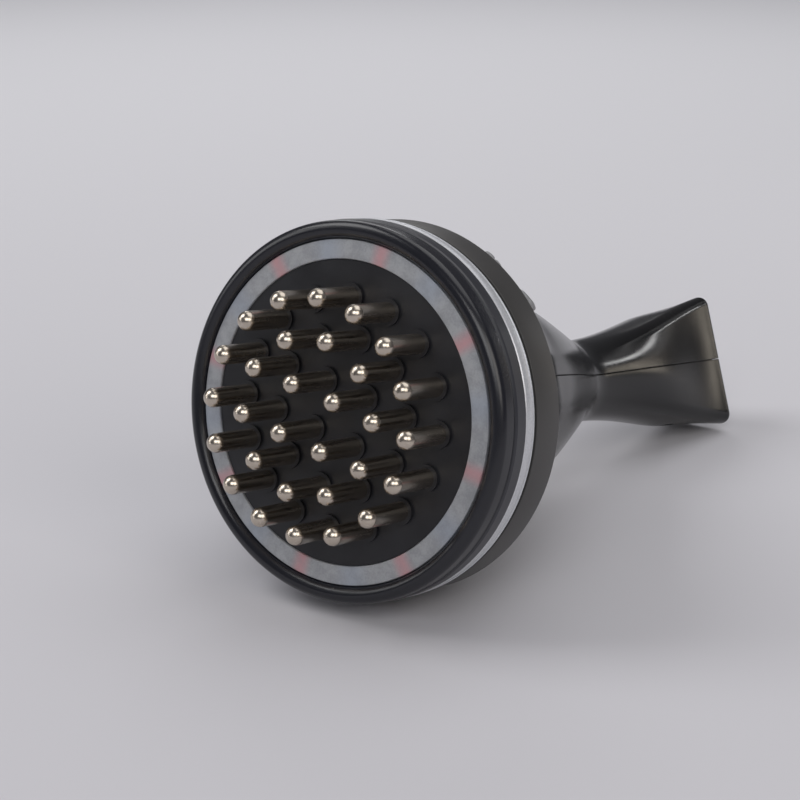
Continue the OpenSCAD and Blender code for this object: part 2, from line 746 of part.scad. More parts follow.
module lower_shell() {
    color([0.05, 0.05, 0.055]) lying() difference() {
        union() {
            half_shell(180);
            spigot(180);
            around(lower_tubes, tube_r) drum(tube_d / 2, flange_top, flange_top + tube_bite + 1);
            intersection() {
                union() {
                    at_shell_screws() rotate([180, 0, 0]) cylinder(r = recess_r + 1, h = head_d);
                    cell_ribs(180);
                    for (s = cradle_depths) translate([-head_d / 2, -head_d / 2, -s - cradle_t / 2])
                        cube([head_d, head_d / 2 + motor_y, cradle_t]);
                    for (k = [-1, 1]) translate([motor_x + k * strap_ear, 0, -strap_from - strap_w / 2])
                        rotate([90, 0, 0]) translate([0, 0, -motor_y]) cylinder(r = 3, h = head_d);
                    for (k = [-1, 1]) translate([k * charge_post_x, charge_board_y, -charge_post_depth])
                        rotate([90, 0, 0]) cylinder(r = 2, h = grip_h);
                }
                wall_core();
                half_space(180);
            }
        }
        around(lower_tubes, tube_r) drum(tube_pilot, flange_top - 1, flange_top + tube_bite + 0.4);
        at_shell_screws() translate([0, 0, -20]) cylinder(r = shell_pass, h = 21);
        at_shell_screws() translate([0, 0, -seat_y - head_d]) cylinder(r = recess_r, h = head_d);
        translate([motor_x, motor_y, 0]) drum(motor_d / 2 + gap, motor_front - 2, motor_back + 2);
        for (k = [-1, 1]) translate([motor_x + k * strap_ear, motor_y + 1, -strap_from - strap_w / 2])
            rotate([90, 0, 0]) cylinder(r = strap_screw_r, h = 9);
        for (k = [-1, 1]) translate([k * charge_post_x, charge_board_y + 1, -charge_post_depth])
            rotate([90, 0, 0]) cylinder(r = 0.8, h = 6);
        socket_hole();
    }
}
// Screws from the lower shell into the upper one
module shell_screws() {
    color([0.7, 0.7, 0.72]) lying() at_shell_screws() translate([0, 0, -seat_y]) {
        translate([0, 0, -1.8]) cylinder(r = shell_head_r, h = 1.8);
        translate([0, 0, -0.1]) cylinder(r = shell_screw_r, h = seat_y + shell_bite);
    }
}
module screw_plugs() {
    color([0.05, 0.05, 0.05]) lying() for (s = shell_screw_depths)
        translate([0, 0, -s]) rotate([90, 0, 0])
            translate([0, 0, min(middle_height(s + 3), middle_height(s - 3)) - 3.4])
                cylinder(r = plug_r, h = 2);
}

// The vibration motor

module at_motor() {
    translate([motor_x, motor_y, 0]) children();
}
shaft_r = 1;
bearing_gap = 0.04;
can_t = 1;
module motor_can() {
    color([0.7, 0.71, 0.72]) lying() at_motor() difference() {
        union() {
            drum(motor_d / 2, motor_front, motor_back);
            drum(3, motor_front - 1.5, motor_front + 0.1);
        }
        drum(motor_d / 2 - can_t, motor_front + can_t, motor_back - can_t);
        drum(shaft_r + bearing_gap, motor_front - 3, motor_back + 1);
    }
}
module motor_magnets() {
    magnet_in = motor_d / 2 - can_t - 2;
    color([0.25, 0.24, 0.24]) lying() at_motor() for (a = [30, 210]) rotate([0, 0, a])
        turned([
            [magnet_in, motor_front + 4], [motor_d / 2 - can_t - 0.05, motor_front + 4],
            [motor_d / 2 - can_t - 0.05, motor_back - 4], [magnet_in, motor_back - 4]
        ], 120);
}
module rotor_shaft() {
    color([0.8, 0.8, 0.82]) lying() at_motor() drum(shaft_r, motor_front - 9, motor_back + 0.5);
}
module rotor_armature() {
    color([0.6, 0.35, 0.15]) lying() at_motor() difference() {
        drum(motor_d / 2 - can_t - 2.6, motor_front + 6, motor_back - 6);
        drum(shaft_r + 0.02, motor_front, motor_back);
        for (a = [0, 120, 240]) rotate([0, 0, a]) translate([4, -0.75, -motor_back])
            cube([9, 1.5, motor_len]);
    }
}
module eccentric_weight() {
    weight_r = 8.5;
    color([0.72, 0.6, 0.35]) lying() at_motor() difference() {
        union() {
            intersection() {
                drum(weight_r, motor_front - 8, motor_front - 3);
                translate([-weight_r, 0, -motor_front]) cube([2 * weight_r, weight_r, 20]);
            }
            drum(2.8, motor_front - 8, motor_front - 3);
        }
        drum(shaft_r + 0.02, motor_front - 10, motor_front);
    }
}
module motor_bracket() {
    color([0.75, 0.76, 0.77]) lying() at_motor() difference() {
        union() {
            intersection() {
                drum(motor_d / 2 + strap_t, strap_from, strap_from + strap_w);
                translate([-motor_d, 0.1, -strap_from - strap_w - 1])
                    cube([2 * motor_d, motor_d, strap_w + 2]);
            }
            translate([-strap_ear - 3, 0.1, -strap_from - strap_w])
                cube([2 * strap_ear + 6, strap_t, strap_w]);
        }
        drum(motor_d / 2 + gap, strap_from - 1, strap_from + strap_w + 1);
        for (k = [-1, 1]) translate([k * strap_ear, -1, -strap_from - strap_w / 2])
            rotate([-90, 0, 0]) cylinder(r = 1.4, h = 5);
    }
}
module bracket_screws() {
    color([0.7, 0.7, 0.72]) lying() at_motor() for (k = [-1, 1])
        translate([k * strap_ear, strap_t + 0.1, -strap_from - strap_w / 2]) rotate([-90, 0, 0]) {
            cylinder(r = 2.2, h = 1.5);
            translate([0, 0, -8]) cylinder(r = 1.05, h = 8.1);
        }
}
// A straight wire between two points
module wire(a, b, r) {
    d = b - a;
    translate(a) rotate([0, acos(d[2] / norm(d)), atan2(d[1], d[0])]) cylinder(r = r, h = norm(d));
}
module motor_leads() {
    color([0.1, 0.1, 0.1]) lying() for (k = [-1, 1])
        wire([motor_x + k * 3, motor_y + motor_d / 2 + 0.8, -motor_back + 2],
             [motor_x + k * 9, 17, -control_back - 0.4], 0.6);
}

// Battery and charging

module battery_cell() {
    color([0.2, 0.4, 0.65]) lying() {
        drum(cell_d / 2, cell_front + 0.5, cell_back);
        drum(cell_d / 4, cell_front, cell_front + 1);
    }
}
module battery_tabs() {
    color([0.75, 0.75, 0.72]) lying() {
        translate([-2, -2, -cell_front]) cube([4, 7, 0.3]);
        translate([-2, -2, -cell_back - 0.3]) cube([4, 7, 0.3]);
    }
}
module battery_leads() {
    color([0.7, 0.15, 0.12]) lying() for (k = [-1, 1])
        wire([k * 5.5, 4.5, -cell_front + 1], [k * 13, 20, -control_back - 0.4], 0.7);
}
module charge_board() {
    color([0.1, 0.35, 0.2]) lying() difference() {
        translate([-9, charge_board_y, -body_len + wall + 0.4]) cube([18, charge_board_t, charge_board_len]);
        for (k = [-1, 1]) translate([k * charge_post_x, charge_board_y - 1, -charge_post_depth])
            rotate([-90, 0, 0]) cylinder(r = 0.95, h = 4);
    }
}
module charge_socket() {
    color([0.72, 0.73, 0.75]) lying() {
        difference() {
            translate([-socket_w / 2, -socket_h / 2, -socket_back]) cube([socket_w, socket_h, socket_len]);
            translate([-socket_w / 2 + 0.35, -socket_h / 2 + 0.35, -socket_back - 1])
                cube([socket_w - 0.7, socket_h - 0.7, socket_len]);
        }
        translate([-3.3, -0.35, -socket_back + 0.8]) cube([6.6, 0.7, socket_len - 1]);
    }
}
module charge_screws() {
    color([0.7, 0.7, 0.72]) lying() for (k = [-1, 1])
        translate([k * charge_post_x, charge_board_y + charge_board_t, -charge_post_depth])
            rotate([-90, 0, 0]) {
                cylinder(r = 1.5, h = 0.9);
                translate([0, 0, -5]) cylinder(r = 0.78, h = 5.1);
            }
}

pin_plate();
electrode_pins_outer();
electrode_pins_middle();
electrode_pins_inner();
pin_nuts();
contact_board();
plate_gasket();
plate_screws();
light_ring();
led_board();
red_leds();
blue_leds();
front_bezel();
head_housing();
trim_ring();
seal_ring();
rear_ring();
drum_screws();
control_board();
pulse_transformer();
board_parts();
board_screws();
contact_leads();
upper_shell();
lower_shell();
shell_screws();
screw_plugs();
power_key();
mode_key();
power_plunger();
mode_plunger();
key_switches();
key_board();
key_board_screw();
motor_can();
motor_magnets();
motor_bracket();
bracket_screws();
rotor_shaft();
rotor_armature();
eccentric_weight();
motor_leads();
battery_cell();
battery_tabs();
battery_leads();
charge_board();
charge_socket();
charge_screws();
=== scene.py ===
from functools import lru_cache
from math import atan, atan2, cos, hypot, pi, radians, sin, sqrt

import bmesh
import bpy
import numpy as np
from mathutils import Matrix, Vector


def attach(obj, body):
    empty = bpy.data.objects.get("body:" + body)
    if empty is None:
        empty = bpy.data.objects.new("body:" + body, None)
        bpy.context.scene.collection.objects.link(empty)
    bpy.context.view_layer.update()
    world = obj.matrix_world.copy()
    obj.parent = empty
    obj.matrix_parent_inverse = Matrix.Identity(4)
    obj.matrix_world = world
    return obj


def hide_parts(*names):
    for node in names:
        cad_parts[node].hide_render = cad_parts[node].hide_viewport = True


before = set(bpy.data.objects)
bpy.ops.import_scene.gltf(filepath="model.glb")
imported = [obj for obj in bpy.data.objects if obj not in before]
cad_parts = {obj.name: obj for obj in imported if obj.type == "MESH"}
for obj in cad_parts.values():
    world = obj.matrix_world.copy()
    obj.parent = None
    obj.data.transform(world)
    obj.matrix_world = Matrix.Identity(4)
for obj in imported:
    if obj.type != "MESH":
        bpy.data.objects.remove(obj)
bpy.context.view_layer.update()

# The device as it lies
# The massager rests on the edge of its head and the end of its grip. Its own frame has +Z out of
# the pin face and Z = 0 at the front of the light ring. Pieces are sized in millimetres, and
# materials and the studio in metres.

MM = 0.001
tilt = radians(9.58025)
roll = radians(19.8)
face_y, face_z = -0.0923032, 0.0538936
lies = (
    Matrix.Translation((0, face_y, face_z))
    @ Matrix.Rotation(pi / 2 - tilt, 4, "X")
    @ Matrix.Rotation(roll, 4, "Z")
    @ Matrix.Scale(MM, 4)
)


def lay(mesh, name, body, slot, *nodes):
    """Makes a mesh in the device's own millimetres into a piece, laid down with the device."""
    mesh.transform(lies)
    piece = bpy.data.objects.new(name, mesh)
    bpy.context.collection.objects.link(piece)
    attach(piece, body)
    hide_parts(*nodes)
    return piece


# Front bezel
# A round-edged ring of satin black ABS, moulded in one shot. Its spigot is pushed into the head
# housing and its inner step holds the light ring down.


class Tap:
    """A socket in a material. Sums on taps add Math nodes, and tap.node adds any other node."""

    def __init__(self, socket):
        self.socket = socket
        self.tree = socket.id_data

    def node(self, kind, settings=None, sockets=None, out=0):
        """Adds a node of a kind: its settings first, then the values or taps of its sockets."""
        made = self.tree.nodes.new(kind)
        for name, value in (settings or {}).items():
            setattr(made, name, value)
        for name, value in (sockets or {}).items():
            by_name = {s.identifier: s for s in made.inputs}
            target = by_name.get(name) or made.inputs[name]
            if isinstance(value, Tap):
                self.tree.links.new(value.socket, target)
            else:
                target.default_value = value
        outs = {s.identifier: s for s in made.outputs}
        return Tap(outs.get(out) or made.outputs[out])

    def maths(self, operation, other=0.0):
        """A Math node on self and one other value."""
        values = {"Value": self, "Value_001": other}
        return self.node("ShaderNodeMath", {"operation": operation}, values)

    def __add__(self, other):
        return self.maths("ADD", other)

    def __sub__(self, other):
        return self.maths("SUBTRACT", other)

    def __rsub__(self, other):
        return self * -1 + other

    def __mul__(self, other):
        return self.maths("MULTIPLY", other)

    __radd__ = __add__
    __rmul__ = __mul__

    def smooth(self, low, high):
        """0 below low, 1 above high, and a soft step between."""
        return self.node(
            "ShaderNodeMapRange",
            {"interpolation_type": "SMOOTHSTEP"},
            {"Value": self, "From Min": low, "From Max": high},
        )

    def noise(self, size, detail=2.0, roughness=0.5):
        """Noise whose lumps are about size metres across; self is the place."""
        return self.node(
            "ShaderNodeTexNoise",
            sockets={"Vector": self, "Scale": 1 / size, "Detail": detail, "Roughness": roughness},
        )

    def tint(self, low, high):
        """A colour between low and high, by self."""
        return self.node(
            "ShaderNodeMix",
            {"data_type": "RGBA"},
            {
                "Factor_Float": self,
                "A_Color": low if isinstance(low, Tap) else (*low, 1),
                "B_Color": high if isinstance(high, Tap) else (*high, 1),
            },
            out="Result_Color",
        )

    def bump(self, height):
        """A normal from self, a height in units of height metres."""
        return self.node("ShaderNodeBump", sockets={"Height": self, "Distance": height})


def finish(name, **constants):
    """A new material with its shader's constants set, and the place in the piece's own metres."""
    material = bpy.data.materials.new(name)
    material.use_nodes = True
    shader = material.node_tree.nodes["Principled BSDF"]
    for socket, value in constants.items():
        shader.inputs[socket.replace("_", " ")].default_value = value
    seed = Tap(shader.inputs["Base Color"])
    place = seed.node("ShaderNodeTexCoord", out="Object")
    return material, place


def feed(material, **sockets):
    """Links taps to the shader of a material."""
    shader = material.node_tree.nodes["Principled BSDF"]
    for name, tap in sockets.items():
        material.node_tree.links.new(tap.socket, shader.inputs[name.replace("_", " ")])
    return material


def moulded_satin(name, colour, rough):
    """Satin moulded plastic: spark-eroded grain, slow mottling and a little pale dust."""
    grain, grain_depth, mottle, speck, drift = 0.00035, 0.000012, 0.02, 0.0011, 0.03
    darkest, palest, dust_colour = 0.8, 1.25, (0.3, 0.29, 0.27)
    material, place = finish(name, IOR=1.5)
    fine = place.noise(grain, 3.0, 0.6)
    slow = place.noise(mottle, 3.0)
    dust = place.noise(speck, 1.0).smooth(0.72, 0.8) * place.noise(drift, 2.0).smooth(0.5, 0.75)
    shade = slow * 0.3 + fine * 0.2 + 0.75
    base = shade.smooth(0.8, 1.2).tint([c * darkest for c in colour], [c * palest for c in colour])
    return feed(
        material,
        Base_Color=(dust * 0.35).tint(base, dust_colour),
        Roughness=slow * 0.14 + fine * 0.06 + dust * 0.2 + (rough - 0.1),
        Normal=fine.bump(grain_depth),
    )


def arc(centre_r, centre_depth, radius, start, end, steps):
    """Points of (radius, depth) on an arc; 0 degrees points outward and 90 to the front."""
    angles = [radians(start + (end - start) * i / steps) for i in range(steps + 1)]
    return [(centre_r + radius * cos(a), centre_depth - radius * sin(a)) for a in angles]


def turned(profile, steps=240):
    """A mesh of revolution from a closed profile of (radius, depth)."""
    n = len(profile)
    turns = [2 * pi * k / steps for k in range(steps)]
    points = [(r * cos(a), r * sin(a), -d) for a in turns for r, d in profile]
    faces = [
        (k * n + i, k * n + (i + 1) % n, (k + 1) % steps * n + (i + 1) % n, (k + 1) % steps * n + i)
        for k in range(steps)
        for i in range(n)
    ]
    mesh = bpy.data.meshes.new("turned")
    mesh.from_pydata(points, [], faces)
    tidy(mesh)
    return mesh


crease = 32


def tidy(mesh, angle=crease):
    """Merges doubled points, turns faces outward and shades smooth up to an angle."""
    same_point = 1e-5
    work = bmesh.new()
    work.from_mesh(mesh)
    bmesh.ops.remove_doubles(work, verts=work.verts, dist=same_point)
    bmesh.ops.recalc_face_normals(work, faces=work.faces)
    work.to_mesh(mesh)
    work.free()
    mesh.shade_smooth()
    mesh.set_sharp_from_angle(angle=radians(angle))


gap = 0.15
bezel_r, bezel_w, bezel_rise, bezel_foot = 50.0, 4.9, 1.5, 4.2
bezel_roll = (bezel_w - gap) / 2
foot_edge, shade_hold = 0.4, 0.2
light_out_r, light_t, lens_foot, deck_top = bezel_r - bezel_w, 2.5, 1.4, 8.0
spigot_r, spigot_end = 48.45 - gap, deck_top - gap
pocket_r, pocket_depth = light_out_r + lens_foot + gap, light_t - gap
bezel_black = moulded_satin("bezel black", (0.010, 0.0105, 0.015), 0.24)
bezel = lay(
    turned(
        arc(bezel_r - bezel_roll, bezel_roll - bezel_rise, bezel_roll, 180, 0, 28)
        + [(bezel_r, bezel_foot - foot_edge - shade_hold)]
        + arc(bezel_r - foot_edge, bezel_foot - foot_edge, foot_edge, 0, -90, 4)
        + [(spigot_r, bezel_foot), (spigot_r, spigot_end), (pocket_r, spigot_end)]
        + [(pocket_r, pocket_depth), (light_out_r + gap, pocket_depth)]
    ),
    "bezel_ring",
    "body",
    "bezel",
    "front_bezel",
)
bezel.data.materials.append(bezel_black)

# Head housing and its rings
# The drum of the head: a satin black band, a light grey trim ring with bright chamfers, a black
# rubber seal and a charcoal rear band, stacked on the drum and drawn up by long screws.

housing_black = moulded_satin("housing black", (0.028, 0.029, 0.036), 0.33)
rear_charcoal = moulded_satin("rear charcoal", (0.045, 0.043, 0.042), 0.42)


def dress(node, material):
    """Gives a CAD node's own mesh a material."""
    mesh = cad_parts[node].data
    mesh.materials.clear()
    mesh.materials.append(material)


dress("head_housing", housing_black)

drum_in, trim_r, chamfer = 47.5 + gap, bezel_r + 0.45, 0.45
trim_from, trim_w = 9.3, 4.5
trim_to = trim_from + trim_w
crown_r, crown_turn, crown_rise = 4.1, 24, 0.05
side_r = trim_r - crown_rise
trim_grey, place = finish("trim grey", Metallic=0.35, IOR=1.5)
brushed = place.noise(0.0005, 3.0, 0.6)
patches = place.noise(0.015, 2.0)
feed(
    trim_grey,
    Base_Color=(brushed * 0.7 + patches * 0.3).smooth(0.35, 0.65).tint(
        (0.53, 0.54, 0.57), (0.64, 0.65, 0.68)
    ),
    Roughness=brushed * 0.12 + 0.26,
    Normal=brushed.bump(0.00001),
)
trim = lay(
    turned(
        [(drum_in, trim_from), (trim_r - chamfer, trim_from), (side_r, trim_from + chamfer)]
        + arc(trim_r - crown_r, trim_from + trim_w / 2, crown_r, crown_turn, -crown_turn, 8)
        + [(side_r, trim_to - chamfer), (trim_r - chamfer, trim_to), (drum_in, trim_to)]
    ),
    "trim_band",
    "body",
    "trim",
    "trim_ring",
)
trim.data.materials.append(trim_grey)

seal_black, place = finish("seal rubber")
pores = place.noise(0.0003, 2.0)
feed(
    seal_black,
    Base_Color=pores.tint((0.003, 0.003, 0.003), (0.007, 0.007, 0.007)),
    Roughness=pores * 0.2 + 0.7,
    Normal=pores.bump(0.00002),
)
dress("seal_ring", seal_black)
dress("plate_gasket", seal_black)

seal_w = 1.2
rear_r, rear_from, rear_to, rear_edge = bezel_r + 0.2, trim_to + seal_w, 26.4, 0.3
rear_lip, lip_from, lip_t = 46.0, 18.45, 2.0
lip_to = lip_from + lip_t
rear = lay(
    turned(
        [(drum_in, rear_from)]
        + arc(rear_r - rear_edge, rear_from + rear_edge, rear_edge, 90, 0, 4)
        + arc(rear_r - rear_edge, rear_to - rear_edge, rear_edge, 0, -90, 5)
        + [(drum_in, rear_to), (drum_in, lip_to), (rear_lip, lip_to)]
        + [(rear_lip, lip_from), (drum_in, lip_from)]
    ),
    "rear_band",
    "body",
    "rear",
    "rear_ring",
)
rear.data.materials.append(rear_charcoal)

# Light ring and lamps
# A frosted polycarbonate lens, open to the front between the plate and the bezel. Eight red and
# eight blue lamps sit on a white ring board under it. Their glow is painted into the lens's colour
# as soft spots.

light_in_r = light_out_r - 5.1
lens_edge, skirt_t, deck_t = 0.35, 0.8, 1.0
lamps, red_turn, blue_turn = 8, 14.1, 36.6
lens, place = finish("frosted lens", IOR=1.5, Coat_Roughness=0.15)


def across(place, axis):
    """How far a place is from the middle of the light ring, along one of the device's axes."""
    way = lies.to_3x3().col[axis].normalized()
    far = place.node(
        "ShaderNodeVectorMath",
        {"operation": "DOT_PRODUCT"},
        {"Vector": place, "Vector_001": way},
        out="Value",
    )
    return far - lies.translation.dot(way)


turn = across(place, 1).maths("ARCTAN2", across(place, 0)) * (180 / pi)
milky = place.noise(0.003, 3.0)
speck = place.noise(0.0005, 2.0)


def painted_glow(start, width):
    """Painted glow: how near a turn is to one of the lamps of a colour, the first of which is at
    start.
    """
    step = 360 / lamps
    off = (turn - start + (360 + step / 2)).maths("MODULO", step) - step / 2
    return 1 - off.maths("ABSOLUTE").smooth(0.0, width)


# The lamps' glow is painted into the lens's base colour: pink spots over the red lamps, blue over the
# blue.
painted_red_glow = painted_glow(red_turn, 5.0) * (milky * 0.9 + 0.3)
painted_blue_glow = painted_glow(blue_turn, 9.0) * (milky * 0.8 + 0.3)
frost = (milky * 0.6 + speck * 0.4).smooth(0.35, 0.65).tint((0.28, 0.29, 0.31), (0.37, 0.38, 0.40))
frost_and_painted_red_glow = painted_red_glow.tint(frost, (0.52, 0.27, 0.29))
feed(
    lens,
    Base_Color=(painted_blue_glow * 0.6).tint(frost_and_painted_red_glow, (0.30, 0.35, 0.44)),
    Roughness=speck * 0.15 + 0.36,
    Normal=speck.bump(0.00001),
)
foot_in, foot_out = light_in_r - lens_foot, light_out_r + lens_foot
light = lay(
    turned(
        arc(light_in_r + lens_edge, lens_edge, lens_edge, 180, 90, 4)
        + arc(light_out_r - lens_edge, lens_edge, lens_edge, 90, 0, 4)
        + [(light_out_r, light_t), (foot_out, light_t), (foot_out, deck_top)]
        + [(foot_out - skirt_t, deck_top), (foot_out - skirt_t, light_t + deck_t)]
        + [(foot_in + skirt_t, light_t + deck_t), (foot_in + skirt_t, deck_top)]
        + [(foot_in, deck_top), (foot_in, light_t), (light_in_r, light_t)]
    ),
    "light_lens",
    "body",
    "lens",
    "light_ring",
)
light.data.materials.append(lens)


def plain(name, low, high, rough, metal=0.0, grain=0.0006):
    """A finish for small and inner pieces: two tones by noise, with its own grain in metres."""
    material, place = finish(name, Metallic=metal)
    cloud = place.noise(grain, 3.0)
    wide = place.noise(grain * 12, 2.0)
    return feed(
        material,
        Base_Color=(cloud * 0.5 + wide * 0.5).smooth(0.3, 0.7).tint(low, high),
        Roughness=cloud * 0.15 + (rough - 0.07),
        Normal=cloud.bump(0.00001),
    )


dress("led_board", plain("white board", (0.62, 0.62, 0.6), (0.72, 0.72, 0.7), 0.4))
dress("red_leds", plain("red lamp", (0.6, 0.05, 0.05), (0.75, 0.12, 0.1), 0.2))
dress("blue_leds", plain("blue lamp", (0.05, 0.09, 0.6), (0.1, 0.18, 0.75), 0.2))

# Pin plate
# A flat plate of fine-textured black plastic, with a low raised collar round the foot of each
# pin. Screws from behind hold it on the housing, over a rubber gasket.

plate_black, place = finish("plate black", IOR=1.5)
grit = place.noise(0.00025, 3.0, 0.65)
cloud = place.noise(0.012, 4.0, 0.55)
feed(
    plate_black,
    Base_Color=(cloud * 0.7 + grit * 0.3)
    .smooth(0.3, 0.7)
    .tint((0.005, 0.005, 0.007), (0.013, 0.0135, 0.017)),
    Roughness=cloud * 0.3 + grit * 0.1 + 0.22,
    Normal=grit.bump(0.00002),
)
dress("pin_plate", plate_black)

# Electrode pins
# Thirty rods of turned brass, nickel plated and polished, with hemispherical ends. Each has a
# threaded stud that goes through the plate and the contact board to its nut.

stretch = 0.06
nickel, place = finish("polished nickel", Metallic=1.0)
drawn = place.node(
    "ShaderNodeCombineXYZ",
    sockets={"X": across(place, 0), "Y": across(place, 1), "Z": across(place, 2) * stretch},
)
streak = drawn.noise(0.0012, 3.0)
fine = place.noise(0.0002, 2.0)
feed(
    nickel,
    Base_Color=streak.tint((0.48, 0.42, 0.35), (0.64, 0.57, 0.49)),
    Roughness=streak * 0.1 + fine * 0.05 + 0.18,
    Normal=fine.bump(0.000003),
)
for ring in ("electrode_pins_outer", "electrode_pins_middle", "electrode_pins_inner"):
    dress(ring, nickel)
dress("pin_nuts", plain("nut brass", (0.55, 0.42, 0.18), (0.68, 0.54, 0.26), 0.3, 1.0))

# Boards, screws and wires
# Glass-fibre boards with green solder resist. The contact board joins the pins, and the control
# board stands on posts behind it with its chips, capacitors and pulse coil. All screws are steel.

board_green = plain("board green", (0.01, 0.09, 0.04), (0.02, 0.14, 0.06), 0.35, 0.0, 0.0012)
part_black = plain("part black", (0.012, 0.012, 0.013), (0.03, 0.03, 0.032), 0.45)
steel = plain("screw steel", (0.45, 0.45, 0.47), (0.6, 0.6, 0.62), 0.28, 1.0)
wire_red = plain("wire red", (0.3, 0.03, 0.02), (0.42, 0.05, 0.04), 0.45)
for node in ("contact_board", "control_board", "key_board", "charge_board"):
    dress(node, board_green)
for node in ("board_parts", "key_switches"):
    dress(node, part_black)
for node in (
    "plate_screws",
    "board_screws",
    "drum_screws",
    "shell_screws",
    "key_board_screw",
    "bracket_screws",
    "charge_screws",
):
    dress(node, steel)
for node in ("contact_leads", "motor_leads", "battery_leads"):
    dress(node, wire_red)
dress("pulse_transformer", plain("coil", (0.05, 0.03, 0.02), (0.2, 0.1, 0.05), 0.4, 0.3))

# Shell halves
# Two glossy black injection moulded halves make the flare, neck and grip. They meet in a thin
# groove from the rear band to the end, and screws under rubber plugs join them.

flare_depth, flare_r = 26.5, 50.0
neck_depth, neck_r = 121.0, 12.7
body_len, grip_h, grip_w = 206.4, 46.4, 27.4
grip_taper, flat_corner, round_corner = 0.23, 4.4, 12.0
end_round, wall = 2.6, 2.2
parting = 0.1
flare_len, spread = neck_depth - flare_depth, flare_r - neck_r
rim = (flare_depth, flare_r, -0.6)
shoulder = (flare_depth + 0.36 * flare_len, neck_r + 0.524 * spread, -0.25)
waist = (flare_depth + 0.8 * flare_len, neck_r + 0.157 * spread, -0.36)
neck = (neck_depth, neck_r, 0)
top_end = (body_len, grip_h / 2, 0.13)
belly = ((neck_depth + body_len) / 2, max(neck_r, grip_w / 2), 0)
side_end = (body_len, grip_w / 2, 0.13)
taper_from = neck_depth + 0.6 * (body_len - neck_depth)
least_corner = 0.8


def curve(s, a, b):
    """Cubic curve through two stations of (depth, half size, slope)."""
    length = b[0] - a[0]
    t = (s - a[0]) / length
    return (
        a[1] * (2 * t**3 - 3 * t * t + 1)
        + a[2] * length * (t**3 - 2 * t * t + t)
        + b[1] * (3 * t * t - 2 * t**3)
        + b[2] * length * (t**3 - t * t)
    )


def flare(s):
    """Radius of the flare at a depth, from the rim to the neck."""
    if s < shoulder[0]:
        return curve(s, rim, shoulder)
    return curve(s, shoulder, waist) if s < waist[0] else curve(s, waist, neck)


def sharp_height(s):
    """Half height at a depth, with a crease at the neck."""
    return flare(s) if s < neck_depth else curve(s, neck, top_end)


def sharp_width(s):
    """Half width at a depth, with a crease at the neck."""
    if s < neck_depth:
        return flare(s)
    return curve(s, neck, belly) if s < belly[0] else curve(s, belly, side_end)


@lru_cache(None)
def half_sizes(s):
    """Half width and half height, averaged over 10 mm so that no crease shows at the neck."""
    near = [s + step for step in (-5, -3, -1, 1, 3, 5)]
    return sum(map(sharp_width, near)) / len(near), sum(map(sharp_height, near)) / len(near)


def eased(s, start):
    """Eases from 0 at a depth to 1 at the grip's end."""
    t = min(1, max(0, (s - start) / (body_len - start)))
    return t * t * (3 - 2 * t)


def kept(s, x):
    """How much of its height the grip keeps at x, from its flat side to its round side."""
    w = half_sizes(s)[0]
    return 1 - grip_taper * eased(s, taper_from) * max(0, w - x) / (2 * w)


def end_cut(s):
    """How far the rounded edge of the grip's end cuts in at a depth."""
    into = max(0, s - (body_len - end_round))
    return end_round - sqrt(max(0, end_round**2 - into**2))


def skin_point(s, turn, thick=0.0):
    """A point of the casing's outer skin, or of the skin that lies thick inside it."""
    w, h = half_sizes(s)
    if thick:
        slope = half_sizes(s + 0.5)[1] - half_sizes(s - 0.5)[1]
        inset = thick * sqrt(1 + slope * slope)
    else:
        inset = end_cut(s)
    ux, uy = abs(cos(turn)), abs(sin(turn))
    w, h = w - inset, h - inset
    oval = 1 / hypot(cos(turn) / w, sin(turn) / h)
    corner = max(least_corner, (flat_corner if cos(turn) > 0 else round_corner) - inset)
    corner = min(corner, w, h)
    flat, endless = 0.001, 1e6
    box = min(w / ux if ux > flat else endless, h / uy if uy > flat else endless)
    if box * ux > w - corner and box * uy > h - corner:
        along = (w - corner) * ux + (h - corner) * uy
        beyond = (w - corner) ** 2 + (h - corner) ** 2 - corner * corner
        box = along + sqrt(max(0, along * along - beyond))
    reach = oval + (box - oval) * eased(s, neck_depth)
    x = reach * cos(turn)
    return Vector((x, reach * sin(turn) * kept(s, x), -s))


def turn_of(x, y, s):
    """The turn at which skin_point gives a point of the skin."""
    return atan2(y / kept(s, x), x)


def skin_normal(x, y, s):
    """The casing's own normal at a point on its skin, so that reflections run smooth."""
    turn, little_turn, least_step = turn_of(x, y, s), 0.01, 0.001
    step = min(0.3, body_len - s - least_step)
    round_it = skin_point(s, turn + little_turn) - skin_point(s, turn - little_turn)
    along_it = skin_point(s + step, turn) - skin_point(s - step, turn)
    normal = along_it.cross(round_it).normalized()
    return normal if normal.dot(Vector((x, y, 0))) > 0 else -normal


near_corners = {float(a) for a in range(40, 80, 1)} | {float(180 - a) for a in range(30, 90, 2)}
sweep = sorted({float(a) for a in range(0, 181, 4)} | near_corners)
flare_steps, grip_steps, edge_from = 60, 50, body_len - end_round
along_flare = [flare_depth + flare_len * i / flare_steps for i in range(flare_steps)]
along_grip = [
    neck_depth + (edge_from - neck_depth) * i / grip_steps for i in range(grip_steps + 1)
]
round_end = [edge_from + end_round * sin(radians(a)) for a in range(9, 91, 9)]
rings = along_flare + along_grip + round_end
lip, end_gap = 0.18, 0.2


def inner_depth(s):
    """The depth that matches an outer ring's on the inner skin, a wall short of the end."""
    whole = body_len - flare_depth
    return flare_depth + (s - flare_depth) * (whole - wall) / whole


def half_skin(side, thick):
    """Rings of points over one half, from the parting line round to the parting line."""
    rows = []
    for s in rings:
        q = inner_depth(s) if thick else s
        row = [skin_point(q, radians(side * a), thick) for a in sweep]
        row = [(x, side * max(abs(y), parting), z) for x, y, z in row]
        if not thick:
            first, last = row[0], row[-1]
            row[0] = (first[0], side * (parting + lip), first[2])
            row[-1] = (last[0], side * (parting + lip), last[2])
            row.insert(0, (first[0] - lip, side * parting, first[2]))
            row.append((last[0] + lip, side * parting, last[2]))
        rows.append(row)
    return rows


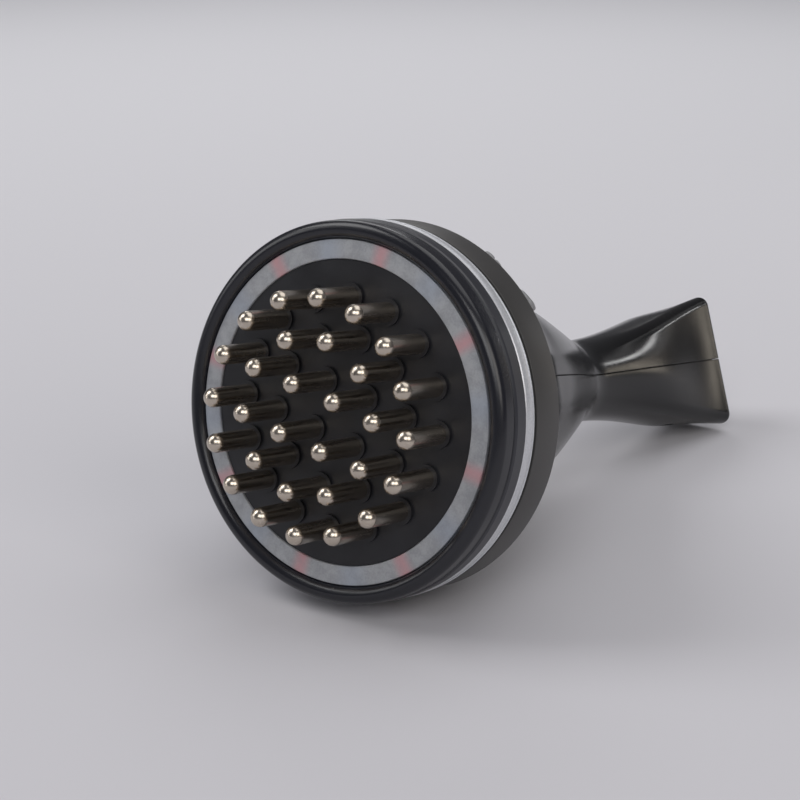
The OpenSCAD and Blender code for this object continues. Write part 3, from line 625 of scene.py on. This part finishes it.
def half_casing(name, side):
    """One closed half of the casing: outer and inner skin, parting faces and end wall."""
    outer, inner = half_skin(side, 0), half_skin(side, wall)
    inner = [[row[0]] + row + [row[-1]] for row in inner]
    n = len(outer[0])
    points = [p for row in outer for p in row] + [p for row in inner for p in row]
    base, end = len(outer) * n, (len(outer) - 1) * n
    hub, inner_hub = len(points), len(points) + 1
    points += [(0, side * parting, -body_len), (0, side * parting, wall - body_len)]
    faces = []
    for row in range(0, end, n):
        for a in range(row, row + n - 1):
            b = a + n
            faces.append((a, a + 1, b + 1, b))
            faces.append((base + b, base + b + 1, base + a + 1, base + a))
        for a in (row, row + n - 1):
            faces.append((a, a + n, base + a + n, base + a))
    for j in range(n - 1):
        faces.append((base + j, base + j + 1, j + 1, j))
        faces.append((hub, end + j, end + j + 1))
        faces.append((inner_hub, base + end + j + 1, base + end + j))
    faces.append((hub, end + n - 1, base + end + n - 1, inner_hub))
    faces.append((hub, inner_hub, base + end, end))
    mesh = bpy.data.meshes.new(name)
    mesh.from_pydata(points, [], faces)
    tidy(mesh)
    return mesh


def loft(sections):
    """A closed mesh through like sections of points, capped at both ends."""
    n = len(sections[0])
    faces = [
        (i * n + j, i * n + (j + 1) % n, (i + 1) * n + (j + 1) % n, (i + 1) * n + j)
        for i in range(len(sections) - 1)
        for j in range(n)
    ]
    ends = [tuple(range(n)), tuple(range((len(sections) - 1) * n, len(sections) * n))]
    mesh = bpy.data.meshes.new("loft")
    mesh.from_pydata([p for row in sections for p in row], [], faces + ends)
    tidy(mesh)
    return mesh


def tongue(side):
    """A rail inside the parting line: it stands on the lower half and closes the gap."""
    root, step, top, sunk, clear, back = -1.2, -0.2, 0.9, 0.8, -0.1, -0.9
    profile = [(sunk, root), (sunk, step), (clear, step), (clear, top), (back, top), (back, root)]
    rows = []
    for s in rings[::4] + [rings[-1]]:
        q = min(inner_depth(s), body_len - wall - end_gap)
        x = abs(skin_point(q, 0 if side > 0 else pi, wall)[0])
        rows.append([(side * (x + out), y, -q) for out, y in profile])
    return loft(rows)


def outline(length, width, steps=16):
    """Points of a round-ended bar, long along Y."""
    points = []
    for end, start in ((1, 0), (-1, 180)):
        for i in range(steps + 1):
            a = radians(start + 180 * i / steps)
            points.append((width / 2 * cos(a), end * (length - width) / 2 + width / 2 * sin(a)))
    return points


def bar(length, width, low, high):
    """A closed round-ended bar from low to high along Z."""
    return loft([[(x, y, z) for x, y in outline(length, width)] for z in (low, high)])


def carve(piece, mesh):
    """Cuts a closed mesh out of a piece that stands in the same frame."""
    tool = bpy.data.objects.new("tool", mesh)
    bpy.context.collection.objects.link(tool)
    cut = piece.modifiers.new("cut", "BOOLEAN")
    cut.operation, cut.solver, cut.object = "DIFFERENCE", "EXACT", tool
    bpy.context.view_layer.update()
    seen = piece.evaluated_get(bpy.context.evaluated_depsgraph_get())
    done = bpy.data.meshes.new_from_object(seen)
    piece.modifiers.remove(cut)
    piece.data = done
    bpy.data.objects.remove(tool)


def moved(mesh, matrix):
    """The mesh itself, moved by a matrix."""
    mesh.transform(matrix)
    return mesh


def join(piece, *meshes):
    """Adds meshes in the device's millimetres to a piece that is already laid down."""
    work = bmesh.new()
    work.from_mesh(piece.data)
    for mesh in meshes:
        mesh.transform(lies)
        work.from_mesh(mesh)
    work.to_mesh(piece.data)
    work.free()


def polish(piece):
    """Sets the casing's own normals on its outer skin after the cuts."""
    near_end, near_skin, same_way = 0.01, 0.02, 0.9
    mesh = piece.data
    mesh.shade_smooth()
    mesh.set_sharp_from_angle(angle=radians(crease))
    normals = [Vector(n.vector) for n in mesh.corner_normals]
    stands, turned_by, own = lies.inverted(), lies.to_quaternion(), {}
    for face in mesh.polygons:
        for loop in face.loop_indices:
            v = mesh.loops[loop].vertex_index
            if v not in own:
                x, y, z = stands @ mesh.vertices[v].co
                on_skin = flare_depth - near_end < -z < body_len - near_end
                if on_skin:
                    at = skin_point(-z, turn_of(x, y, -z))
                    on_skin = abs(hypot(x, y) - hypot(at.x, at.y)) < near_skin
                own[v] = turned_by @ skin_normal(x, y, -z) if on_skin else None
            if own[v] is not None and own[v].dot(face.normal) > same_way:
                normals[loop] = own[v]
    mesh.normals_split_custom_set(normals)


gloss_black, place = finish("casing gloss black", IOR=1.35)
peel = place.noise(0.004, 2.0)
wear = place.noise(0.018, 4.0, 0.6)
dust = place.noise(0.0009, 1.0).smooth(0.74, 0.8) * place.noise(0.02, 2.0).smooth(0.5, 0.7)
smear = wear.tint((0.003, 0.003, 0.0033), (0.006, 0.006, 0.006))
feed(
    gloss_black,
    Base_Color=(dust * 0.2).tint(smear, (0.25, 0.24, 0.22)),
    Roughness=wear * 0.12 + dust * 0.3 + 0.12,
    Normal=peel.bump(0.00001),
)

shells = {}
for name, side in (("upper", 1), ("lower", -1)):
    shells[name] = lay(half_casing(name, side), name + "_casing", "body", "shell", name + "_shell")
    shells[name].data.materials.append(gloss_black)

key_turn, key_depth, key_step = radians(32.5), 30.0, 7.0
key_r = flare(key_depth)
key_lean = atan(flare(key_depth - 0.5) - flare(key_depth + 0.5))
keys_at = (
    Matrix.Rotation(key_turn, 4, "Z")
    @ Matrix.Translation((key_r, 0, -key_depth))
    @ Matrix.Rotation(pi / 2 + key_lean, 4, "Y")
)
key_len, key_w, key_gap = 7.0, 4.4, 0.25
well_low, well_high = -6, 4
for k in (-1, 1):
    well = bar(key_len + 2 * key_gap, key_w + 2 * key_gap, well_low, well_high)
    carve(shells["upper"], moved(well, lies @ keys_at @ Matrix.Translation((0, k * key_step, 0))))

socket_w, socket_h, socket_gap = 9.0, 3.2, 0.2
hole_w, hole_h = socket_w + 2 * socket_gap, socket_h + 2 * socket_gap
hole_in, hole_out = 3, 2
for shell in shells.values():
    hole = bar(hole_w, hole_h, -body_len - hole_out, hole_in - body_len)
    carve(shell, moved(hole, lies @ Matrix.Rotation(pi / 2, 4, "Z")))

screw_depths = [flare_depth + 48.5, neck_depth - 8, body_len - 24.5]
plug_r, plug_sink = 2.6, 1.4
recess_r, recess_low, recess_high = plug_r + 0.1, -4, 8


def middle_height(s):
    """How far the skin is from the middle, straight up or down."""
    return half_sizes(s)[1] * kept(s, 0)


def at_plug(s):
    """Lays +Z outward through the lower shell at a screw, from the lower side of its skin."""
    reach = 3
    out = min(middle_height(s - reach), middle_height(s + reach))
    return Matrix.Translation((0, -out, -s)) @ Matrix.Rotation(pi / 2, 4, "X")


round_turns = np.linspace(0, 2 * pi, 49)[:-1]
for s in screw_depths:
    recess = [
        [(recess_r * cos(a), recess_r * sin(a), z) for a in round_turns]
        for z in (recess_low, recess_high)
    ]
    carve(shells["lower"], moved(loft(recess), lies @ at_plug(s)))
for shell in shells.values():
    polish(shell)
join(shells["lower"], tongue(1), tongue(-1))

# Screw plugs
# Soft black rubber plugs, pushed into the three screw wells of the lower shell. Each has a rounded
# edge, a shallow dished face and a nick to lift it by.

plug_t, plug_foot, plug_taper, plug_edge = 2.0, 0.2, 0.15, 0.35
dish = [(1.6, 0.1), (0.8, 0.17), (0.05, 0.2)]
nick_half, nick_depth, nick_r, face_depth = 0.3, 0.3, 1.6, 0.5


def nick(r, depth, turn):
    """How far the face dips at the nick, on one side of the edge."""
    on_face = r > nick_r and depth < face_depth
    return nick_depth if abs(turn - pi) < nick_half and on_face else 0


def plug(s):
    """A plug in its well at a screw's depth, as a mesh in the device's millimetres."""
    profile = [(plug_r - plug_taper, plug_t), (plug_r, plug_t - plug_foot)]
    profile += arc(plug_r - plug_edge, plug_edge, plug_edge, 0, 90, 5) + dish
    rows = [
        [(r * cos(a), r * sin(a), -d - plug_sink - nick(r, d, a)) for a in round_turns]
        for r, d in profile
    ]
    return moved(loft(rows), at_plug(s))


plugs = lay(plug(screw_depths[0]), "rubber_plugs", "body", "rubber", "screw_plugs")
join(plugs, *[plug(s) for s in screw_depths[1:]])
plugs.data.materials.append(seal_black)

# Keys
# Two grey ABS keys in wells behind the rear band: a single one for power, and one with a notch
# across it that steps the mode. The spring of the switch under each brings it back up.

key_base = -(key_r - sqrt(key_r**2 - key_step**2)) * cos(key_lean)
key_stand, key_foot, notch = 1.2, key_base - wall - 0.05, 0.8
key_edge, key_crown = 0.7, 0.35
crown_steps = ((1.0, 0.15), (1.5, 0.27), (2.0, key_crown))
notch_deep, notch_raise, notch_flare, notch_over = 1.1, 0.15, 1.1, 1
key_grey, place = finish("key grey", IOR=1.5)
rub = place.noise(0.0015, 3.0)
skin = place.noise(0.0003, 3.0)
feed(
    key_grey,
    Base_Color=rub.smooth(0.4, 0.7).tint((0.24, 0.24, 0.25), (0.32, 0.32, 0.33)),
    Roughness=rub * 0.15 + skin * 0.05 + 0.25,
    Normal=skin.bump(0.00001),
)


def key_mesh(notched):
    """A crowned, round-ended key, with a notch across the middle where it is asked for."""
    top = key_base + key_stand
    shoulder_top = top - key_crown
    edge_turns = [radians(a) for a in range(0, 91, 15)]
    levels = [(key_edge * (1 - cos(a)), key_edge * (sin(a) - 1)) for a in edge_turns]
    rows = [[(x, y, key_foot) for x, y in outline(key_len, key_w)]]
    for inset, rise in (*levels, *crown_steps):
        ring = outline(key_len - 2 * inset, key_w - 2 * inset)
        rows.append([(x, y, shoulder_top + rise) for x, y in ring])
    mesh = loft(rows)
    if not notched:
        return mesh
    whole = bpy.data.objects.new("whole key", mesh)
    bpy.context.collection.objects.link(whole)
    turns = np.linspace(0, pi, 13)
    groove = [(notch * cos(a), top - notch * notch_deep * sin(a) + notch_raise) for a in turns]
    lid = top + notch_over
    groove = [(notch * notch_flare, lid)] + groove + [(-notch * notch_flare, lid)]
    carve(whole, loft([[(x, y, z) for y, z in groove] for x in (-key_w, key_w)]))
    done = whole.data
    bpy.data.objects.remove(whole)
    tidy(done, 40)
    return done


for name, k in (("power", -1), ("mode", 1)):
    key = lay(
        moved(key_mesh(k > 0), keys_at @ Matrix.Translation((0, k * key_step, 0))),
        name + "_key_cap",
        name + "_key",
        "key",
        name + "_key",
    )
    key.data.materials.append(key_grey)
white_pad = plain("plunger white", (0.5, 0.49, 0.45), (0.62, 0.6, 0.56), 0.45)
for name in ("power", "mode"):
    dress(name + "_plunger", white_pad)

# Motor
# A plated steel can with two magnets, a wound armature on a ground shaft, and a sintered brass
# half disc on the shaft's end that shakes the head. An aluminium strap screws it down.

dress("motor_can", plain("can steel", (0.5, 0.51, 0.52), (0.62, 0.63, 0.64), 0.28, 1.0))
dress("rotor_shaft", plain("shaft steel", (0.6, 0.6, 0.62), (0.72, 0.72, 0.74), 0.16, 1.0, 0.0003))
dress("rotor_armature", plain("armature", (0.22, 0.09, 0.03), (0.4, 0.18, 0.07), 0.4, 0.6))
dress("motor_magnets", plain("magnet", (0.05, 0.05, 0.052), (0.09, 0.09, 0.092), 0.55, 0.2))
dress("eccentric_weight", plain("weight brass", (0.42, 0.31, 0.14), (0.56, 0.43, 0.21), 0.35, 1.0))
dress("motor_bracket", plain("strap aluminium", (0.6, 0.6, 0.61), (0.7, 0.7, 0.71), 0.36, 1.0))

# Battery and inlet
# An 18 mm lithium cell in a blue sleeve with welded nickel tabs, and a plated sheet metal inlet on
# its own small board in the end of the grip.

dress("battery_cell", plain("cell sleeve", (0.03, 0.09, 0.25), (0.04, 0.13, 0.33), 0.3))
dress("battery_tabs", plain("nickel tab", (0.6, 0.58, 0.54), (0.7, 0.68, 0.63), 0.3, 1.0))
dress("charge_socket", plain("inlet plate", (0.55, 0.56, 0.58), (0.68, 0.69, 0.7), 0.24, 1.0, 0.0003))

# Studio
# A pale paper floor with painted light that makes it paler away from the camera, and large soft
# lights all round. Three small lights low at the back right, a window, a strip and a spot, show in
# the gloss of the grip.

floor_half, floor_turn = 6, radians(34)
paper, place = finish("paper", Roughness=0.9)
fibre = place.noise(0.5, 3.0)
along = place.node("ShaderNodeSeparateXYZ", sockets={"Vector": place}, out="Y")
near_paper = fibre.tint((0.585, 0.575, 0.61), (0.605, 0.595, 0.63))
# Painted light: the paper's colour is painted paler away from the camera.
paper_painted_paler_far = along.smooth(-0.4, 1.4).tint(near_paper, (0.85, 0.845, 0.88))
feed(paper, Base_Color=paper_painted_paler_far)
floor = bpy.data.meshes.new("floor")
corners = [(-1, -1), (1, -1), (1, 1), (-1, 1)]
floor.from_pydata([(x * floor_half, y * floor_half, 0) for x, y in corners], [], [range(4)])
floor.materials.append(paper)
sheet = bpy.data.objects.new("floor", floor)
bpy.context.collection.objects.link(sheet)
sheet.rotation_euler.z = floor_turn


def softbox(name, place, aim, size, power, colour=(1, 1, 1), turn=0):
    """A flat lamp of size metres and power watts at a place, aimed at another place."""
    lamp = bpy.data.lights.new(name, "AREA")
    lamp.shape, lamp.size, lamp.size_y = "RECTANGLE", size[0], size[1]
    lamp.energy, lamp.color = power, colour
    holder = bpy.data.objects.new(name, lamp)
    bpy.context.collection.objects.link(holder)
    way = (Vector(aim) - Vector(place)).to_track_quat("-Z", "Y").to_matrix().to_4x4()
    holder.matrix_world = Matrix.Translation(place) @ way @ Matrix.Rotation(radians(turn), 4, "Z")


device = (0, 0, 0.05)
grip = (0.012, 0.054, 0.035)
softbox("key", (-1.3, -0.7, 1.7), device, (1.1, 1.1), 14)
softbox("top", (0.3, 0.7, 2.0), (0, 0.2, 0.05), (2.2, 1.6), 15)
softbox("left panel", (-1.9, -1.2, 0.8), device, (1.0, 1.0), 6)
softbox("front", (0.9, -1.7, 1.3), device, (1.2, 1.0), 12)
softbox("right", (1.6, -0.7, 1.0), device, (1.0, 1.0), 9, (1, 0.96, 0.91))
softbox("back left", (-1.2, 1.5, 1.2), device, (1.0, 1.0), 5)
softbox("window", (0.281, 0.586, 0.093), grip, (0.034, 0.136), 0.058, (1, 0.9, 0.76))
softbox("strip", (0.174, 0.6, 0.225), grip, (0.022, 0.25), 0.024, turn=-27)
softbox("spot", (0.21, 0.583, 0.19), grip, (0.028, 0.028), 0.048)

world = bpy.data.worlds.new("studio")
bpy.context.scene.world = world
world.use_nodes = True
sky = world.node_tree.nodes["Background"].inputs
sky["Color"].default_value = (0.92, 0.92, 1.0, 1)
sky["Strength"].default_value = 0.12

view = bpy.data.cameras.new("camera")
view.sensor_width, view.lens = 36, 86.216
camera = bpy.data.objects.new("camera", view)
bpy.context.collection.objects.link(camera)
right = Vector((0.82454176, 0.5658011, 0.0))
ahead = Vector((-0.54180361, 0.78957022, -0.28814532))
up = right.cross(ahead)
stands_at = (0.281322, -0.474708, 0.200290)
looks = Matrix([[right[i], up[i], -ahead[i]] for i in range(3)])
camera.matrix_world = Matrix.Translation(stands_at) @ looks.to_4x4()
bpy.context.scene.camera = camera
bpy.context.scene.view_settings.view_transform = "Standard"
